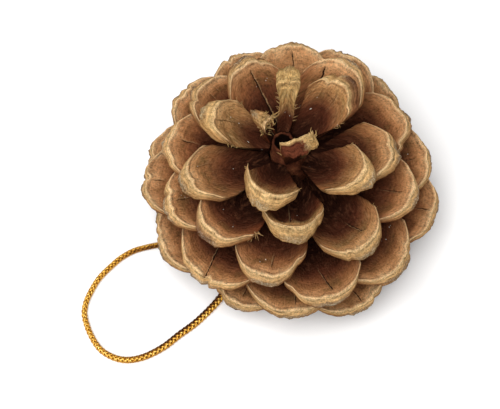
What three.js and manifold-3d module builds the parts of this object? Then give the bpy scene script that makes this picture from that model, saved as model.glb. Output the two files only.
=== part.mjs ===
import * as THREE from 'three';
import { mergeVertices } from 'three/addons/utils/BufferGeometryUtils.js';
import Module from 'manifold-3d';

// An open pine cone that stands on its lowest scales with its apex up. A thin metallic cord is tied
// round the stub of its stem. Millimetres, +Z up, origin on the surface under the middle of the cone.

// The cone's dome, and the gap kept between neighbours
const CONE_RADIUS = 36.6;
const DOME_HEIGHT = 40;
const EQUATOR_HEIGHT = 12;
const GAP = 0.3;

// The spiral: each scale is turned by the same angle from the one above it, apex first
const DIVERGENCE_DEGREES = 137.93;
const FIRST_TURN_DEGREES = 273.5;
const LAST_SCALE = 57;
const BROKEN_OFF = [2, 3];

// Where the rims lie: the angle down from the apex, and the skirt that tucks in under the equator
const APEX_ANGLE = -10;
const EQUATOR_ANGLE = 99;
const EQUATOR_SCALE = 47;
const CROWDING = 0.53;
const SKIRT_DEPTH = 13;
const SKIRT_SCALE = 41;
const SKIRT_DROP = 0.33;
const SKIRT_TUCK = 0.6;
const FIRST_FOOT = 53;
const FOOT_HEIGHT = 3.5;

// The roots run down the woody axis, whose broken tip leans over by so much in X and Y
const TOP_ROOT = 41;
const ROOT_STEP = 0.6;
const HIGHEST_ROOT = 38.4;
const TIP_LEAN = new THREE.Vector2(-1.7, 1.3);
const LEAN_HEIGHTS = [30, 40];
const ROOT_HALF_WIDTH = 2.1;
const ROOT_CROWDING = 0.42;
const UPRIGHT_ROOT = 0.2;

// Half the width of a scale at its shoulders, and where along the scale the shoulders are
const APEX_HALF_WIDTH = 6.4;
const FULL_HALF_WIDTH = 10.2;
const FULL_WIDTH_SCALE = 34;
const SKIRT_NARROWING = 0.02;
const SHOULDER = 0.85;

// Thickness of a scale at its root, in its blade and at the swollen end, which is thinner low down
const ROOT_THICKNESS = 1.7;
const BLADE_THICKNESS = 1.2;
const TOP_END_THICKNESS = 4.4;
const LOW_END_THICKNESS = 2.6;
const THINNING_SCALES = [6, 38];
const SWELLING_START = 0.68;
const EDGE_THINNING = 0.62;
const END_LEAN = 0.3;

// How far a rim's corners lie behind its middle and above it, and how the blade curls up
const APEX_RIM_SAG = 0.85;
const FULL_RIM_SAG = 0.6;
const ROUNDNESS = 0.6;
const CUP = 0.17;
const CURL_DEGREES = 14;

// Flat facets across a scale, along it and through its thickness
const SCALE_FACETS = [6, 5, 1];

// Every scale differs a little from the next
const WIDTH_SWAY = 0.04;
const ROLL_SWAY_DEGREES = 3;

// Scales that grew astray: degrees turned, mm outwards, mm upwards, and times as wide
const STRAYS = {
  1: [14, 4, -5.5, 0.3],
  4: [10, 0, 1, 0.44],
  5: [-10, -9.5, 4, 0.66],
  6: [-2, 2.5, 0.5, 0.8],
  7: [18, -0.5, 1, 0.9],
  8: [-1, -2.8, 2, 1],
  9: [6, 1, 1, 1],
  10: [-2, -3.2, 0, 1],
  11: [3, 2, -2, 1],
  12: [-1, 0.5, 1, 1.1],
  13: [-8, -3.2, 2, 1],
  14: [-1, 1, -1, 1],
  15: [-3, -3, -1, 1],
  16: [0, -0.5, -1, 1.03],
  17: [0, 0.8, 0.5, 1.12],
  18: [-3, -0.5, -1, 1],
  19: [-4, -0.5, -1, 1.1],
  20: [-9, -0.5, -1, 1.1],
  21: [2, -1.5, -0.5, 1],
  22: [-4, 0, 1, 1],
  23: [5, -2, 0, 0.95],
  24: [-3, -2, 1, 1],
  25: [-1, 1, 1.5, 1],
  26: [-1, 0.5, -1, 1],
  27: [-9, 0.2, 2, 1],
  28: [-2, 0, -1, 1],
  29: [-3, -0.7, 0, 1.18],
  32: [0, 0.5, 0, 1],
  33: [7, 0, 3, 1],
  34: [7, -1.5, 1, 1.1],
  36: [2, 0.5, 1, 1],
  37: [-2, -0.7, 1, 1.05],
  39: [5, -1, 0.5, 1.05],
  40: [4, 1, 1.5, 1],
  42: [6, -3.5, 1, 1],
  44: [0, -0.5, 0, 1],
  47: [-1, -2, 1, 1],
  49: [0, -1, -0.5, 0.95],
  52: [0, 0, 0.5, 0.95],
  55: [6, 0, 0, 1],
  57: [0, -1, 0, 0.95],
};

// The woody axis: height and radius, from the cut stub up to the tip
const AXIS_PROFILE = [
  [0, 3.2], [4, 3.3], [6, 5.6], [20, 6], [28, 5.4], [33, 4.3], [37, 3], [39, 1.8],
];
const AXIS_SIDES = 20;
const AXIS_TIP = 1;

// The cord: its thickness, the ring it makes round the stub, and its knot
const CORD_RADIUS = 0.75;
const CORD_SIDES = 8;
const CORD_STEPS = 42;
const CORD_CLEARANCE = 0.05;
const STUB_RADIUS = 3.3;
const RING_HEIGHT = 1.5;
const KNOT_RADIUS = 1.4;
const KNOT_PLACE = [-4.9, -3.2, 1.5];
const KNOT_SIDES = [12, 8];

// The cord's route on the surface: out of the knot, round the loop and back to the knot
const CORD_ROUTE = [
  [-6.6, -3.4], [-12, -4.5], [-20, -6.4], [-28, -8.2], [-34.6, -9.4], [-40.2, -10.9], [-43.5, -12.8],
  [-46.5, -15.6], [-49.2, -18.7], [-50.9, -21.8], [-52.2, -25.1], [-52.6, -28.3], [-51.9, -31.3],
  [-50.5, -34.6], [-48.1, -38.1], [-44.9, -40.2], [-41.6, -41], [-38.3, -41], [-35.4, -39.4],
  [-31.6, -37.3], [-28.2, -34.3], [-24.4, -31.3], [-21.2, -28.1], [-18.4, -24.8], [-14.2, -18.4],
  [-9.6, -11.4], [-5.9, -4.9],
];

// Colour, roughness and metalness of each kind of piece, and the pale scales round the apex
const SCALE_WOOD = [0x96693f, 0.85, 0];
const APEX_WOOD = [0xc29e66, 0.85, 0];
const AXIS_WOOD = [0x4a2e20, 0.9, 0];
const GOLD_CORD = [0xb8862e, 0.4, 0.9];
const PALE_SCALES = [1, 4, 5];

const { lerp, smoothstep, clamp } = THREE.MathUtils;
const radians = THREE.MathUtils.degToRad;

function axisRadius(height) {
  const last = AXIS_PROFILE.length - 1;
  for (let i = 0; i < last; i += 1) {
    const [low, lowRadius] = AXIS_PROFILE[i];
    const [high, highRadius] = AXIS_PROFILE[i + 1];
    if (height <= high) {
      return lerp(lowRadius, highRadius, clamp((height - low) / (high - low), 0, 1));
    }
  }
  return AXIS_PROFILE[last][1];
}

// How far the axis leans at a height, seen by a scale that faces a turn: sideways and outwards
function leanAt(height, turn = Math.PI / 2) {
  const lean = TIP_LEAN.clone().multiplyScalar(smoothstep(height, ...LEAN_HEIGHTS));
  return lean.rotateAround(new THREE.Vector2(), Math.PI / 2 - turn);
}

// Everything that sets one scale's place and size
function scaleShape(number) {
  const [turned, outwards, upwards, widened] = STRAYS[number] ?? [0, 0, 0, 1];
  const turn = radians(FIRST_TURN_DEGREES + turned - DIVERGENCE_DEGREES * number);
  const slide = (number / EQUATOR_SCALE) ** CROWDING;
  const down = radians(lerp(APEX_ANGLE, EQUATOR_ANGLE, slide));
  const depth = Math.cos(down) > 0 ? DOME_HEIGHT : SKIRT_DEPTH;
  const skirt = Math.max(0, number - SKIRT_SCALE);
  const rootHeight = Math.min(HIGHEST_ROOT, TOP_ROOT - ROOT_STEP * number);
  const rootHeights = [rootHeight, rootHeight - ROOT_THICKNESS];
  const rootRadius = Math.max(...rootHeights.map(axisRadius)) + GAP;
  const rootReach = Math.max(...rootHeights.map((height) => axisRadius(height) + leanAt(height, turn).y));
  const grown = smoothstep(number, 0, FULL_WIDTH_SCALE);
  const halfWidth = lerp(APEX_HALF_WIDTH, FULL_HALF_WIDTH, grown) * (1 - SKIRT_NARROWING * skirt);
  const rimHeight = EQUATOR_HEIGHT + depth * Math.cos(down) + upwards - SKIRT_DROP * skirt;
  return {
    turn,
    root: new THREE.Vector2(rootReach + GAP, rootHeight),
    rootShift: leanAt(rootHeight, turn).x,
    rim: new THREE.Vector2(
      CONE_RADIUS * Math.sin(down) + outwards - SKIRT_TUCK * skirt,
      number < FIRST_FOOT ? rimHeight : FOOT_HEIGHT,
    ),
    rootHalfWidth: Math.min(ROOT_HALF_WIDTH, ROOT_CROWDING * rootRadius),
    halfWidth: halfWidth * widened * (1 + WIDTH_SWAY * Math.sin(2.3 * number)),
    sag: lerp(APEX_RIM_SAG, FULL_RIM_SAG, grown),
    end: lerp(TOP_END_THICKNESS, LOW_END_THICKNESS, smoothstep(number, ...THINNING_SCALES)),
    roll: radians(ROLL_SWAY_DEGREES * Math.sin(1.7 * number)),
  };
}

// The middle line of a blade in its upright plane, curling up towards the rim
function middleLine(shape) {
  const chord = shape.rim.clone().sub(shape.root);
  const slope = Math.atan2(chord.y, chord.x);
  const curl = radians(CURL_DEGREES);
  const reach = chord.length() / 3;
  const leaving = new THREE.Vector2(Math.cos(slope - curl), Math.sin(slope - curl));
  const arriving = new THREE.Vector2(Math.cos(slope + curl), Math.sin(slope + curl));
  return new THREE.CubicBezierCurve(
    shape.root,
    shape.root.clone().addScaledVector(leaving, reach),
    shape.rim.clone().addScaledVector(arriving, -reach),
    shape.rim,
  );
}

// One point of a scale: across from -1 to 1, along from root to rim, up from underside to upper face
function scalePoint(shape, line, across, along, up) {
  const middle = line.getPoint(along);
  const direction = line.getTangent(along);
  const square = across * across;
  const widening = Math.sin((Math.PI / 2) * Math.min(1, along / SHOULDER));
  const sideways = lerp(shape.rootHalfWidth, shape.halfWidth, widening) * across;
  const bow = (1 - ROUNDNESS) * square + ROUNDNESS * square * square;
  const swelling = smoothstep(along, SWELLING_START, 1);
  const blade = lerp(ROOT_THICKNESS, BLADE_THICKNESS, smoothstep(along, 0, 0.5));
  const thickness = lerp(blade, shape.end, swelling) * (1 - EDGE_THINNING * square * along);
  const sag = shape.halfWidth * shape.sag * along ** 2 * bow;
  const forward = END_LEAN * swelling * (1 - square) * (1 - up) - sag;
  const lift = shape.halfWidth * CUP * along * square - thickness * (1 - up);
  const roll = shape.roll * along;
  const raise = lift * Math.cos(roll) + sideways * Math.sin(roll);
  const leaning = direction.y * smoothstep(along, 0, UPRIGHT_ROOT);
  return new THREE.Vector3(
    sideways * Math.cos(roll) - lift * Math.sin(roll) + shape.rootShift * (1 - along) ** 2,
    middle.x + direction.x * forward - leaning * raise,
    Math.max(0, middle.y + direction.y * forward + direction.x * raise),
  );
}

// A scale is a box whose corners are bent into the blade
function scaleGeometry(shape) {
  const line = middleLine(shape);
  const geometry = new THREE.BoxGeometry(2, 1, 1, ...SCALE_FACETS);
  const corners = geometry.getAttribute('position');
  for (let i = 0; i < corners.count; i += 1) {
    const bent = scalePoint(shape, line, corners.getX(i), corners.getY(i) + 0.5, corners.getZ(i) + 0.5);
    corners.setXYZ(i, bent.x, bent.y, bent.z);
  }
  geometry.computeVertexNormals();
  return geometry;
}

// The axis stands upright but for its tip: a lathe turns about Y, so it is laid over to Z
function axisGeometry() {
  const tip = AXIS_PROFILE[AXIS_PROFILE.length - 1][0] + AXIS_TIP;
  const outline = AXIS_PROFILE.map(([height, radius]) => new THREE.Vector2(radius, height));
  outline.unshift(new THREE.Vector2(0, 0));
  outline.push(new THREE.Vector2(0, tip));
  const geometry = new THREE.LatheGeometry(outline, AXIS_SIDES);
  geometry.rotateX(Math.PI / 2);
  const corners = geometry.getAttribute('position');
  for (let i = 0; i < corners.count; i += 1) {
    const lean = leanAt(corners.getZ(i));
    corners.setXY(i, corners.getX(i) + lean.x, corners.getY(i) + lean.y);
  }
  return geometry;
}

function cordGeometry() {
  const height = CORD_RADIUS + CORD_CLEARANCE;
  const route = CORD_ROUTE.map(([x, y]) => new THREE.Vector3(x, y, height));
  const section = new THREE.Shape(
    Array.from({ length: CORD_SIDES }, (_, side) => {
      const angle = ((side + 0.5) * 2 * Math.PI) / CORD_SIDES;
      return new THREE.Vector2(CORD_RADIUS * Math.cos(angle), CORD_RADIUS * Math.sin(angle));
    }),
  );
  return new THREE.ExtrudeGeometry(section, {
    steps: CORD_STEPS,
    bevelEnabled: false,
    extrudePath: new THREE.CatmullRomCurve3(route, false, 'centripetal'),
  });
}

const wasm = await Module();
wasm.setup();

function solidOf(geometry) {
  const bare = geometry.clone();
  bare.deleteAttribute('normal');
  bare.deleteAttribute('uv');
  const merged = mergeVertices(bare, 1e-3);
  return new wasm.Manifold(new wasm.Mesh({
    numProp: 3,
    vertProperties: new Float32Array(merged.getAttribute('position').array),
    triVerts: new Uint32Array(merged.index.array),
  }));
}

// The cord's turn round the stub and the knot that closes it are one piece
function knotGeometry() {
  const ring = new THREE.TorusGeometry(STUB_RADIUS + GAP + CORD_RADIUS, CORD_RADIUS, CORD_SIDES, AXIS_SIDES);
  ring.translate(0, 0, RING_HEIGHT);
  const knot = new THREE.SphereGeometry(KNOT_RADIUS, ...KNOT_SIDES);
  knot.translate(...KNOT_PLACE);
  const joined = solidOf(ring).add(solidOf(knot)).getMesh();
  const geometry = new THREE.BufferGeometry();
  geometry.setAttribute('position', new THREE.BufferAttribute(joined.vertProperties, 3));
  geometry.setIndex(new THREE.BufferAttribute(joined.triVerts, 1));
  return geometry;
}

function piece(name, geometry, [color, roughness, metalness]) {
  const mesh = new THREE.Mesh(geometry, new THREE.MeshStandardMaterial({ color, roughness, metalness }));
  mesh.name = name;
  return mesh;
}

const cone = new THREE.Group();
for (let number = 1; number <= LAST_SCALE; number += 1) {
  if (!BROKEN_OFF.includes(number)) {
    const shape = scaleShape(number);
    const name = `scale_${String(number).padStart(2, '0')}`;
    const scale = piece(name, scaleGeometry(shape), PALE_SCALES.includes(number) ? APEX_WOOD : SCALE_WOOD);
    scale.rotation.z = shape.turn - Math.PI / 2;
    cone.add(scale);
  }
}

// The scales decide where the middle of the cone is
cone.updateMatrixWorld(true);
const centre = new THREE.Box3().setFromObject(cone, true).getCenter(new THREE.Vector3());
cone.position.set(-centre.x, -centre.y, 0);

cone.add(piece('axis', axisGeometry(), AXIS_WOOD));
cone.add(piece('cord_knot', knotGeometry(), GOLD_CORD));
cone.add(piece('hanging_cord', cordGeometry(), GOLD_CORD));

export default cone;
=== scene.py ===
# %% [markdown]
# # An open pine cone on a thin gold cord
# The cone is real wood: a core, and scales that grow from it on one spiral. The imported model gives
# each scale a plain block where it really is. Here every block gets its crest, hollows, cracks and
# torn fibres, and then its colours. The frame is loaded first, because everything is placed by it.

# %% Load the frame
import math
import random

import bmesh
import bpy
from mathutils import Matrix, Vector, noise
from mathutils.kdtree import KDTree


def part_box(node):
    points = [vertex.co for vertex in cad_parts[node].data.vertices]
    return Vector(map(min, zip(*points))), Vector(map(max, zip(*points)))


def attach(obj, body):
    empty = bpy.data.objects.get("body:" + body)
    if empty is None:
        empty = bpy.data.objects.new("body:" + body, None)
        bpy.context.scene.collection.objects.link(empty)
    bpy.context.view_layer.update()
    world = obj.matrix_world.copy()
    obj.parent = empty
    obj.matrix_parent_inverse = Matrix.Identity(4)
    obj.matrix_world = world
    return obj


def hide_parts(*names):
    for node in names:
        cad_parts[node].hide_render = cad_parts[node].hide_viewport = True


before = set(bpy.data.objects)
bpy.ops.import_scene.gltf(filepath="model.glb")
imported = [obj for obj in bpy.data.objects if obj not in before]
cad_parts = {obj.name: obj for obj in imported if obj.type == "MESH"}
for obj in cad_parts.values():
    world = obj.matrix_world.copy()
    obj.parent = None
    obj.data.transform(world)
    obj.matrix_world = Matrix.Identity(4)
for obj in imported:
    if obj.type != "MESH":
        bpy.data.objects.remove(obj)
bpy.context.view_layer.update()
MM = 0.001
scene = bpy.context.scene

# %% [markdown]
# ## The camera
# The picture looks steeply down on the cone. A long lens from a distance keeps the far scales nearly
# as large as the near ones. The cone stands right of the middle and a little high, so the camera is
# turned about its own axes after it has been placed, which needs no lens shift.

# %% Camera
IMAGE_SIZE = (500, 409)
CONE_PIXEL = (290, 193)
PIXELS_PER_MM = 3.9
CAMERA_DISTANCE = 450
CAMERA_ELEVATION = math.radians(65)
CONE_MIDDLE = Vector((0, 0, 12))
SENSOR = 36


def make_camera():
    pixels_to_cone = PIXELS_PER_MM * CAMERA_DISTANCE
    camera = bpy.data.objects.new("camera", bpy.data.cameras.new("camera"))
    scene.collection.objects.link(camera)
    camera.data.sensor_width = SENSOR
    camera.data.lens = SENSOR * pixels_to_cone / IMAGE_SIZE[0]
    camera.data.clip_start = 0.01
    back = Vector((0, -math.cos(CAMERA_ELEVATION), math.sin(CAMERA_ELEVATION)))
    place = Matrix.Translation((CONE_MIDDLE + back * CAMERA_DISTANCE) * MM)
    tilt = Matrix.Rotation(math.pi / 2 - CAMERA_ELEVATION, 4, "X")
    left = math.atan((CONE_PIXEL[0] - IMAGE_SIZE[0] / 2) / pixels_to_cone)
    down = math.atan((CONE_PIXEL[1] - IMAGE_SIZE[1] / 2) / pixels_to_cone)
    camera.matrix_world = place @ tilt @ Matrix.Rotation(left, 4, "Y") @ Matrix.Rotation(down, 4, "X")
    return camera


scene.camera = make_camera()
print("lens in mm:", round(scene.camera.data.lens, 1))

# %% [markdown]
# ## The cord's route
# A limp cord keeps its length and lies flat. Its way is a short list of points on the surface, and a
# smooth curve runs through them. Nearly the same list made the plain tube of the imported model, so the
# cord lies where it is. The cone's core says where the middle of the cone is.

# %% Cord route
CORD_RADIUS = 0.75
CORD_HEIGHT = 0.8
CORD_ROUTE = [
    (-6.6, -3.4), (-12, -4.5), (-20, -6.4), (-28, -8.2), (-34.6, -9.4), (-40.2, -10.9),
    (-43.5, -12.8), (-46.5, -15.6), (-49.2, -18.7), (-50.9, -21.8), (-52.2, -25.1), (-52.6, -28.3),
    (-51.9, -31.3), (-50.5, -34.6), (-48.1, -38.1), (-44.9, -40.2), (-41.6, -41), (-38.3, -40.6),
    (-35.2, -39.4), (-31.6, -37.2), (-28.2, -34.3), (-24.4, -31.3), (-21.2, -28.1), (-18.4, -24.8),
    (-14.2, -18.4), (-9.6, -11.4), (-5.9, -4.9),
]
ROUTE_STEP = 0.25
core_low, core_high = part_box("axis")
CONE_SHIFT = (core_low + core_high) / 2 / MM
CONE_SHIFT.z = 0


def smooth(value, low, high):
    """0 below low, 1 above high and smooth between them."""
    share = min(1, max(0, (value - low) / (high - low)))
    return share * share * (3 - 2 * share)


def between(before, start, end, after, share):
    """A point of the smooth curve from start to end, which also looks at both neighbours."""
    times = [0]
    for low, high in ((before, start), (start, end), (end, after)):
        times.append(times[-1] + (high - low).length ** 0.5)
    now = times[1] + (times[2] - times[1]) * share

    def mixed(low, high, i, j):
        span = times[j] - times[i]
        return low * ((times[j] - now) / span) + high * ((now - times[i]) / span)

    left, middle, right = mixed(before, start, 0, 1), mixed(start, end, 1, 2), mixed(end, after, 2, 3)
    return mixed(mixed(left, middle, 0, 2), mixed(middle, right, 1, 3), 1, 2)


def even_steps(points, step):
    """The same line with its points an even step apart."""
    even = [points[0]]
    left_over = 0
    for start, end in zip(points, points[1:]):
        span = (end - start).length
        way = step - left_over
        while way <= span:
            even.append(start.lerp(end, way / span))
            way += step
        left_over = span - (way - step)
    return even


def smooth_route(corners, step, fineness=40):
    ends = [2 * corners[0] - corners[1], *corners, 2 * corners[-1] - corners[-2]]
    line = [
        between(*ends[i:i + 4], share / fineness)
        for i in range(len(corners) - 1)
        for share in range(fineness)
    ]
    return even_steps([*line, corners[-1]], step)


def length_of(points):
    return sum((end - start).length for start, end in zip(points, points[1:]))


cord_corners = [Vector((x, y, CORD_HEIGHT)) + CONE_SHIFT for x, y in CORD_ROUTE]
cord_line = smooth_route(cord_corners, ROUTE_STEP)
print("cord length in mm:", round(length_of(cord_line), 1), "points:", len(cord_line))

# %% [markdown]
# ## Plaited strands
# The real cord is a fine round plait: eight foil-covered strands, four winding each way, that pass
# over and under one another round a dark core. A strand is a curve with a round section. It winds
# about the route, and its distance from the middle swings in and out where two strands cross. The
# cord lies a little flat towards its far end. Each corner notes where in the weave it lies: how far
# sideways, how far out from the middle, and how far along the cord.

# %% Strands round a line
STRANDS_EACH_WAY = 4
STRAND_PITCH = 4.8
STRAND_RADIUS = 0.22
STRAND_REACH = 0.52
STRAND_SWING = 0.07
CORE_RADIUS = 0.46
FLAT_WIDTH = 1.4
FLAT_STRETCH = (0.45, 0.75)


def directions(line, i):
    """The ways sideways and upwards from the line at one of its points."""
    ahead = line[min(i + 1, len(line) - 1)] - line[max(i - 1, 0)]
    sideways = Vector((-ahead.y, ahead.x, 0)).normalized()
    return sideways, ahead.cross(sideways).normalized()


def flattening(line, i):
    """How much wider than high the cord lies: it flattens towards its far end."""
    return 1 + (FLAT_WIDTH - 1) * smooth(i / len(line), *FLAT_STRETCH)


def strand_line(line, hand, phase):
    """A strand's line: hand is 1 or -1 for the way that it winds."""
    woven = []
    for i, point in enumerate(line):
        sideways, upwards = directions(line, i)
        travelled = 2 * math.pi * i * ROUTE_STEP / STRAND_PITCH
        angle = hand * travelled + phase
        swing = math.cos(STRANDS_EACH_WAY * travelled + hand * STRANDS_EACH_WAY * phase)
        reach = STRAND_REACH + hand * STRAND_SWING * swing
        out = sideways * math.cos(angle) * flattening(line, i) + upwards * math.sin(angle)
        woven.append(point + out * reach)
    return woven


def tubes(name, lines, material):
    """One mesh made of round tubes: each line comes with its radius."""
    curve = bpy.data.curves.new(name, "CURVE")
    curve.dimensions = "3D"
    curve.bevel_depth = MM
    curve.bevel_resolution = 1
    curve.use_fill_caps = True
    for line, radius in lines:
        spline = curve.splines.new("POLY")
        spline.points.add(len(line) - 1)
        for point, place in zip(spline.points, line):
            point.co = (*(place * MM), 1)
            point.radius = radius
    drawn = bpy.data.objects.new(name, curve)
    scene.collection.objects.link(drawn)
    mesh = bpy.data.meshes.new_from_object(drawn.evaluated_get(bpy.context.evaluated_depsgraph_get()))
    bpy.data.objects.remove(drawn)
    return finished_piece(name, mesh, material)


def finished_piece(name, mesh, material):
    mesh.materials.clear()
    mesh.materials.append(material)
    mesh.polygons.foreach_set("use_smooth", [True] * len(mesh.polygons))
    piece = bpy.data.objects.new(name, mesh)
    scene.collection.objects.link(piece)
    return piece


def plait(line):
    """The strands of a plait along a line, each with its radius."""
    phases = [2 * math.pi * i / STRANDS_EACH_WAY for i in range(STRANDS_EACH_WAY)]
    return [(strand_line(line, hand, phase), STRAND_RADIUS) for hand in (1, -1) for phase in phases]


def note_weave(piece, lines):
    """Notes where in the weave every corner lies, sideways and outwards as shares of the radius."""
    places = [(line, i, radius) for line, radius in lines for i in range(len(line))]
    finder = KDTree(len(places))
    for index, (line, i, _) in enumerate(places):
        finder.insert(line[i] * MM, index)
    finder.balance()
    notes = piece.data.attributes.new("weave", "FLOAT_VECTOR", "POINT")
    for corner, note in zip(piece.data.vertices, notes.data):
        line, i, radius = places[finder.find(corner.co)[1]]
        sideways, upwards = directions(line, i)
        off = (corner.co / MM - line[i]) / radius
        side = off.dot(sideways) / flattening(line, i)
        note.vector = (side, math.hypot(side, off.dot(upwards)), i / len(line))


# %% [markdown]
# ## Sums on links
# A material is a chain of small nodes. Written out one by one, the sums would hide what they are
# for. So one small class wraps a socket and lets Python's own signs add the Math nodes, and one
# method adds any other node.

# %% Node helpers
def linear(channel):
    """One 0 to 255 colour channel as the light that it stands for."""
    share = channel / 255
    return share / 12.92 if share <= 0.04045 else ((share + 0.055) / 1.055) ** 2.4


def paint(red, green, blue):
    return (linear(red), linear(green), linear(blue), 1)


class Link:
    """A number, colour or vector that comes out of a node."""

    def __init__(self, finish, socket):
        self.finish = finish
        self.socket = socket

    def math(self, operation, *others):
        inputs = dict(enumerate([self, *others]))
        return self.finish.node("ShaderNodeMath", {"operation": operation}, inputs)

    def __add__(self, other):
        return self.math("ADD", other)

    def __mul__(self, other):
        return self.math("MULTIPLY", other)

    __radd__, __rmul__ = __add__, __mul__

    def __sub__(self, other):
        return self.math("SUBTRACT", other)

    def __rsub__(self, other):
        return self.finish.node("ShaderNodeMath", {"operation": "SUBTRACT"}, {0: other, 1: self})

    def __truediv__(self, other):
        return self.math("DIVIDE", other)

    def size(self):
        return self.math("ABSOLUTE")

    def lower(self, other):
        return self.math("MINIMUM", other)

    def step(self, low, high):
        """0 below low, 1 above high and smooth between them. It falls where low is above high."""
        flipped = low > high
        ends = (high, low, 1, 0) if flipped else (low, high, 0, 1)
        settings = {"interpolation_type": "SMOOTHSTEP"}
        return self.finish.node("ShaderNodeMapRange", settings, dict(enumerate([self, *ends])))


class Finish:
    """One material, built up node by node."""

    def __init__(self, name, roughness, metallic=0, gloss=0.5):
        self.material = bpy.data.materials.new(name)
        self.material.use_nodes = True
        self.tree = self.material.node_tree
        self.shader = self.tree.nodes["Principled BSDF"]
        self.shader.inputs["Roughness"].default_value = roughness
        self.shader.inputs["Metallic"].default_value = metallic
        self.shader.inputs["Specular IOR Level"].default_value = gloss

    def node(self, kind, settings, inputs, output=0):
        made = self.tree.nodes.new(kind)
        for setting, value in settings.items():
            if setting == "stops":
                self.set_stops(made.color_ramp.elements, value)
            else:
                setattr(made, setting, value)
        for socket, value in inputs.items():
            if isinstance(value, Link):
                self.tree.links.new(value.socket, made.inputs[socket])
            else:
                made.inputs[socket].default_value = value
        return Link(self, made.outputs[output])

    def set_stops(self, elements, stops):
        while len(elements) < len(stops):
            elements.new(1)
        for element, (place, *colour) in zip(elements, stops):
            element.position = place
            element.color = paint(*colour)

    def feed(self, socket, link):
        self.tree.links.new(link.socket, self.shader.inputs[socket])

    def note(self, name):
        """The three numbers of a note that the mesh's corners keep."""
        vector = self.node("ShaderNodeAttribute", {"attribute_name": name}, {}, "Vector")
        return [self.node("ShaderNodeSeparateXYZ", {}, {0: vector}, axis) for axis in range(3)]

    def places(self):
        return self.node("ShaderNodeTexCoord", {}, {}, "Object")

    def vector(self, x, y, z):
        return self.node("ShaderNodeCombineXYZ", {}, {0: x, 1: y, 2: z})

    def speckle(self, places, scale, detail=3, roughness=0.55):
        inputs = {"Vector": places, "Scale": scale, "Detail": detail, "Roughness": roughness}
        return self.node("ShaderNodeTexNoise", {}, inputs, 0)

    def cells(self, places, scale):
        return self.node("ShaderNodeTexVoronoi", {}, {"Vector": places, "Scale": scale}, "Distance")

    def mix(self, share, first, second, blend="MIX"):
        settings = {"data_type": "RGBA", "blend_type": blend}
        return self.node("ShaderNodeMix", settings, {0: share, 6: first, 7: second}, 2)

    def shade(self, colour, amount):
        """The colour, lighter or darker by a number round 1."""
        grey = self.node("ShaderNodeCombineColor", {}, {0: amount, 1: amount, 2: amount})
        return self.mix(1.0, colour, grey, "MULTIPLY")

    def ramp(self, share, stops):
        return self.node("ShaderNodeValToRGB", {"stops": stops}, {0: share})

    def bump(self, height, depth_mm, strength):
        inputs = {"Height": height, "Distance": depth_mm * MM, "Strength": strength}
        return self.node("ShaderNodeBump", {}, inputs)


# %% [markdown]
# ## Gold foil
# Each strand is wound with a narrow metal foil. Where a strand comes up it shines, and there its
# colour is painted lighter as a painted highlight. Between the strands the brown thread under the
# foil shows, darkened further as painted shade. Near the cone the side that is turned inwards gets
# painted shade too. So the finish reads the weave's notes: bright gold far out from the middle,
# dark brown deep down, and a painted dark inner side towards both ends of the loop.

# %% Gold finish
def gold_finish():
    finish = Finish("gold_foil", 0.34, 0.8)
    places = finish.places()
    wear = finish.speckle(places, 900, 2)
    winding = finish.speckle(places, 3200, 1)
    side, out, way = finish.note("weave")
    # Painted highlight where a strand stands far out from the middle; deep down the brown thread shows,
    # darkened further as painted shade
    raised = out.step(0.5, 0.92)
    # Painted shade on the side turned inwards, towards both ends of the loop near the cone
    shaded = 0.15 + way.step(0.34, 0.22) * 0.6 + way.step(0.56, 0.7) * 0.75
    inner_shade = side.step(-0.05, 0.25) * side.step(1.05, 0.9) * shaded
    # One side of the whole cord is also painted darker, as painted shade
    lit = 0.34 + raised * 0.5 - inner_shade * (0.5 + raised * 0.3) - side.step(-0.6, -0.9) * 0.25
    lit = lit + (winding - 0.5) * 0.9 + (wear - 0.5) * 0.6
    colour = finish.ramp(lit, [
        (0.0, 76, 42, 14), (0.3, 126, 78, 24), (0.6, 186, 128, 40),
        (0.85, 228, 174, 68), (1.0, 250, 218, 130),
    ])
    finish.feed("Base Color", colour)
    finish.feed("Roughness", 0.22 + wear * 0.3)
    finish.feed("Normal", finish.bump(winding, 0.06, 0.7))
    return finish.material


gold = gold_finish()

# %% [markdown]
# ## The cord, its turn round the stub and its knot
# The cord comes out of a small knot, makes its loop and goes back into the knot. The knot sits
# beside the stub of the stem, and the cord goes once round the stub. The knot is the oldest closed
# knot there is, a loop that passes through itself three times, and is drawn tight.

# %% Cord, knot and turn round the stub
RING_HEIGHT = 1.5
RING_REACH = 4.35
KNOT_PLACE = Vector((-4.9, -3.2, 1.5))
KNOT_SCALE = 0.36
KNOT_STRAND = 0.5
KNOT_STEPS = 90
RING_STEPS = 110


def knot_point(turn):
    spread = Vector((
        math.sin(turn) + 2 * math.sin(2 * turn),
        math.cos(turn) - 2 * math.cos(2 * turn),
        -1.2 * math.sin(3 * turn),
    ))
    return KNOT_PLACE + CONE_SHIFT + spread * KNOT_SCALE


def ring_point(turn):
    spread = Vector((math.cos(turn), math.sin(turn), 0)) * RING_REACH
    return spread + CONE_SHIFT + Vector((0, 0, RING_HEIGHT))


def round_trip(point, steps):
    return [point(2 * math.pi * i / steps) for i in range(steps + 1)]


cord = tubes("plaited_cord", [*plait(cord_line), (cord_line, CORE_RADIUS)], gold)
ring_line = even_steps(round_trip(ring_point, RING_STEPS), ROUTE_STEP)
knot_line = round_trip(knot_point, KNOT_STEPS)
knot = tubes("cord_turn_and_knot", [*plait(ring_line), (knot_line, KNOT_STRAND)], gold)
note_weave(cord, [(cord_line, CORD_RADIUS)])
note_weave(knot, [(ring_line, CORD_RADIUS), (knot_line, KNOT_STRAND)])
for piece, node in ((cord, "hanging_cord"), (knot, "cord_knot")):
    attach(piece, "root")
    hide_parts(node)
cord_line[0] * MM
round(length_of(cord_line)) * MM
[point * MM for point in cord_line]
print("cord faces:", len(cord.data.polygons), "knot faces:", len(knot.data.polygons))

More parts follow.
